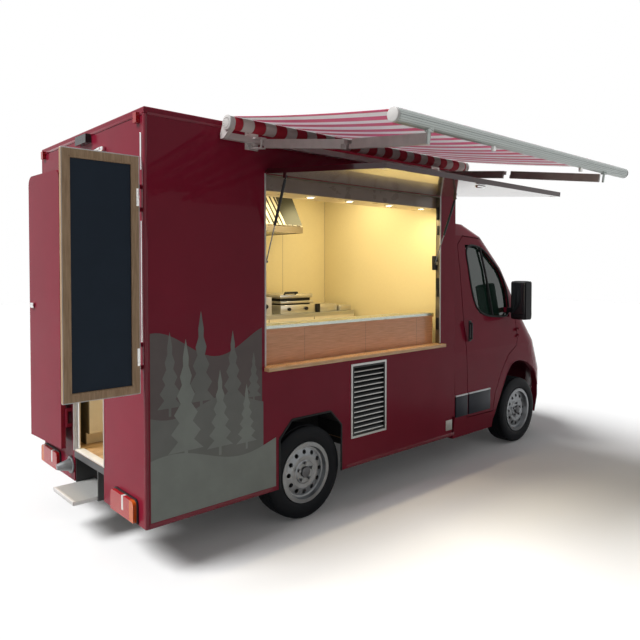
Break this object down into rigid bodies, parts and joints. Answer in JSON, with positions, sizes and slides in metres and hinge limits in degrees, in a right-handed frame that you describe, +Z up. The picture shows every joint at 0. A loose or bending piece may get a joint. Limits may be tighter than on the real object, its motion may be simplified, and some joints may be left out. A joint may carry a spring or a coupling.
{
  "type": "food truck",
  "caption": "Van with a box kitchen behind the cab, side serving hatch, folding-arm awning, rear door and menu board",
  "frame": {"origin": "on the ground under the middle of the truck's own box, awning and board out", "axes": "+X towards the cab, +Y to the truck's left, +Z up; the hatch faces -Y"},
  "size_m": [5.6648, 3.5159, 2.9],
  "materials": {
    "body_paint": "deep red gloss paint on the box panels",
    "cab_paint": "deep red gloss paint on the cab",
    "black_plastic": "grained black plastic",
    "window_glass": "green tinted safety glass",
    "lamp_glass": "clear lamp lens",
    "tyre_rubber": "road tyre",
    "wheel_silver": "silver painted pressed steel",
    "frame_steel": "black painted steel",
    "cast_iron": "cast iron and alloy",
    "aluminium": "satin anodised",
    "stainless": "brushed stainless",
    "white_metal": "white powder coat",
    "counter_wood": "varnished wood",
    "board_wood": "oak frame and dark slate panel",
    "floor_wood": "floor boards over a steel frame",
    "awning_fabric": "red and cream striped awning cloth",
    "seat_fabric": "dark grey seat cloth",
    "lamp_plastic": "red and amber lamp lens"
  },
  "bodies": {
    "root": {"chassis": "frame_steel", "front_axle": "frame_steel", "rear_axle": "frame_steel", "engine_block": "cast_iron", "exhaust": "stainless", "cab_shell": "cab_paint", "front_bumper": "cab_paint", "front_grille": "black_plastic", "headlamps": "lamp_glass", "windscreen": "window_glass", "cab_seats": "seat_fabric", "dashboard": "black_plastic", "box_floor": "floor_wood", "box_right_wall": "body_paint", "box_left_wall": "body_paint", "box_rear_wall": "body_paint", "box_front_wall": "body_paint", "box_roof": "body_paint", "serving_counter": "counter_wood", "kitchen_units": "stainless", "griddle": "stainless", "extractor_hood": "stainless", "lamp_soffit": "counter_wood", "body_lamps": "lamp_plastic", "vent_grille": "aluminium", "awning_roller": "white_metal", "awning_cloth": "awning_fabric"},
    "cab_door_right": {"cab_door_right": "cab_paint", "door_glass_right": "window_glass"},
    "cab_door_left": {"cab_door_left": "cab_paint", "door_glass_left": "window_glass"},
    "bonnet": {"bonnet": "cab_paint"},
    "hatch_flap": {"hatch_flap": "body_paint"},
    "rear_door": {"rear_door": "body_paint"},
    "menu_board": {"menu_board": "board_wood"},
    "entry_step": {"entry_step": "aluminium"},
    "knuckle_right": {"knuckle_right": "cast_iron"},
    "knuckle_left": {"knuckle_left": "cast_iron"},
    "awning_front_bar": {"awning_front_bar": "white_metal"},
    "gas_strut_rear": {"gas_strut_rear": "black_plastic"},
    "strut_rod_rear": {"strut_rod_rear": "stainless"},
    "awning_upper_arm_rear": {"awning_upper_arm_rear": "white_metal"},
    "awning_forearm_rear": {"awning_forearm_rear": "white_metal"},
    "wheel_rear_right": {"tyre_rear_right": "tyre_rubber", "rim_rear_right": "wheel_silver"},
    "steady_rear_right": {"steady_rear_right": "frame_steel"},
    "wheel_rear_left": {"tyre_rear_left": "tyre_rubber", "rim_rear_left": "wheel_silver"},
    "steady_rear_left": {"steady_rear_left": "frame_steel"},
    "gas_strut_front": {"gas_strut_front": "black_plastic"},
    "strut_rod_front": {"strut_rod_front": "stainless"},
    "awning_upper_arm_front": {"awning_upper_arm_front": "white_metal"},
    "awning_forearm_front": {"awning_forearm_front": "white_metal"},
    "wheel_front_right": {"tyre_front_right": "tyre_rubber", "rim_front_right": "wheel_silver"},
    "steady_front_right": {"steady_front_right": "frame_steel"},
    "wheel_front_left": {"tyre_front_left": "tyre_rubber", "rim_front_left": "wheel_silver"},
    "steady_front_left": {"steady_front_left": "frame_steel"}
  },
  "joints": [
    {"name": "steer_right", "type": "hinge", "parent": "root", "child": "knuckle_right", "pos_m": [1.9295, 0.0055, 0.345], "axis": [0, 0, 1], "range_deg": [-33, 33]},
    {"name": "wheel_front_right_spin", "type": "hinge", "parent": "knuckle_right", "child": "wheel_front_right", "pos_m": [1.9295, -0.1095, 0.345], "axis": [0, 1, 0], "continuous": true},
    {"name": "wheel_rear_right_spin", "type": "hinge", "parent": "root", "child": "wheel_rear_right", "pos_m": [-1.0705, -0.1095, 0.345], "axis": [0, 1, 0], "continuous": true},
    {"name": "cab_door_right_hinge", "type": "hinge", "parent": "root", "child": "cab_door_right", "pos_m": [1.8985, -0.2275, 1], "axis": [0, 0, 1], "range_deg": [0, 68]},
    {"name": "steady_rear_right_fold", "type": "hinge", "parent": "root", "child": "steady_rear_right", "pos_m": [-1.7975, 0.1005, 0.274], "axis": [0, 1, 0], "range_deg": [0, 68]},
    {"name": "steady_front_right_fold", "type": "hinge", "parent": "root", "child": "steady_front_right", "pos_m": [0.4125, 0.1005, 0.274], "axis": [0, 1, 0], "range_deg": [0, 68]},
    {"name": "steer_left", "type": "hinge", "parent": "root", "child": "knuckle_left", "pos_m": [1.9295, 1.3155, 0.345], "axis": [0, 0, 1], "range_deg": [-33, 33]},
    {"name": "wheel_front_left_spin", "type": "hinge", "parent": "knuckle_left", "child": "wheel_front_left", "pos_m": [1.9295, 1.4305, 0.345], "axis": [0, 1, 0], "continuous": true},
    {"name": "wheel_rear_left_spin", "type": "hinge", "parent": "root", "child": "wheel_rear_left", "pos_m": [-1.0705, 1.4305, 0.345], "axis": [0, 1, 0], "continuous": true},
    {"name": "cab_door_left_hinge", "type": "hinge", "parent": "root", "child": "cab_door_left", "pos_m": [1.8985, 1.5485, 1], "axis": [0, 0, -1], "range_deg": [0, 68]},
    {"name": "steady_rear_left_fold", "type": "hinge", "parent": "root", "child": "steady_rear_left", "pos_m": [-1.7975, 1.2205, 0.274], "axis": [0, 1, 0], "range_deg": [0, 68]},
    {"name": "steady_front_left_fold", "type": "hinge", "parent": "root", "child": "steady_front_left", "pos_m": [0.4125, 1.2205, 0.274], "axis": [0, 1, 0], "range_deg": [0, 68]},
    {"name": "bonnet_hinge", "type": "hinge", "parent": "root", "child": "bonnet", "pos_m": [2.2325, 0.6605, 1.345], "axis": [0, -1, 0], "range_deg": [0, 55]},
    {"name": "rear_door_hinge", "type": "hinge", "parent": "root", "child": "rear_door", "pos_m": [-2.3995, 0.9485, 1.5], "axis": [0, 0, 1], "range_deg": [0, 177]},
    {"name": "menu_board_hinge", "type": "hinge", "parent": "root", "child": "menu_board", "pos_m": [-2.3775, -0.2015, 1.8], "axis": [0, 0, 1], "range_deg": [-90, 0]},
    {"name": "entry_step_slide", "type": "slide", "parent": "root", "child": "entry_step", "axis": [1, 0, 0], "range_m": [0, 0.15]},
    {"name": "hatch_flap_hinge", "type": "hinge", "parent": "root", "child": "hatch_flap", "pos_m": [-1.4645, -0.2595, 2.523], "axis": [1, 0, 0], "range_deg": [0, 85]},
    {"name": "gas_strut_rear_pivot", "type": "hinge", "parent": "hatch_flap", "child": "gas_strut_rear", "pos_m": [-1.4325, -0.42082, 2.47375], "axis": [1, 0, 0], "range_deg": [-105.32, 0]},
    {"name": "strut_rod_rear_slide", "type": "slide", "parent": "gas_strut_rear", "child": "strut_rod_rear", "axis": [0, -0.3569, 0.9341], "range_m": [0, 0.15848]},
    {"name": "gas_strut_front_pivot", "type": "hinge", "parent": "hatch_flap", "child": "gas_strut_front", "pos_m": [0.4815, -0.42082, 2.47375], "axis": [1, 0, 0], "range_deg": [-105.32, 0]},
    {"name": "strut_rod_front_slide", "type": "slide", "parent": "gas_strut_front", "child": "strut_rod_front", "axis": [0, -0.3569, 0.9341], "range_m": [0, 0.15848]},
    {"name": "awning_shoulder_rear", "type": "hinge", "parent": "root", "child": "awning_upper_arm_rear", "pos_m": [-1.5855, -0.3545, 2.682], "axis": [0, -0.1317, 0.9913], "range_deg": [0, 72], "deforming": ["awning_cloth"]},
    {"name": "awning_elbow_rear", "type": "hinge", "parent": "awning_upper_arm_rear", "child": "awning_forearm_rear", "pos_m": [-1.47372, -1.0395, 2.591], "axis": [0, -0.1317, 0.9913], "range_deg": [-144, 0]},
    {"name": "awning_shoulder_front", "type": "hinge", "parent": "root", "child": "awning_upper_arm_front", "pos_m": [0.4245, -0.3545, 2.682], "axis": [0, -0.1317, 0.9913], "range_deg": [-72, 0]},
    {"name": "awning_elbow_front", "type": "hinge", "parent": "awning_upper_arm_front", "child": "awning_forearm_front", "pos_m": [0.31272, -1.0395, 2.591], "axis": [0, -0.1317, 0.9913], "range_deg": [0, 144]},
    {"name": "awning_wrist", "type": "hinge", "parent": "awning_forearm_rear", "child": "awning_front_bar", "pos_m": [-1.5855, -1.7245, 2.5], "axis": [0, -0.1317, 0.9913], "range_deg": [0, 72]}
  ],
  "couplings": [
    {"joint": "steer_left", "follows": "steer_right", "ratio": 1},
    {"joint": "gas_strut_rear_pivot", "follows": "hatch_flap_hinge", "ratio": -1.2148},
    {"joint": "strut_rod_rear_slide", "follows": "hatch_flap_hinge", "m_per_rad": 0.10473},
    {"joint": "gas_strut_front_pivot", "follows": "hatch_flap_hinge", "ratio": -1.2148},
    {"joint": "strut_rod_front_slide", "follows": "hatch_flap_hinge", "m_per_rad": 0.10473},
    {"joint": "awning_elbow_rear", "follows": "awning_shoulder_rear", "ratio": -2},
    {"joint": "awning_elbow_front", "follows": "awning_shoulder_rear", "ratio": 2},
    {"joint": "awning_shoulder_front", "follows": "awning_shoulder_rear", "ratio": -1},
    {"joint": "awning_wrist", "follows": "awning_shoulder_rear", "ratio": 1}
  ]
}
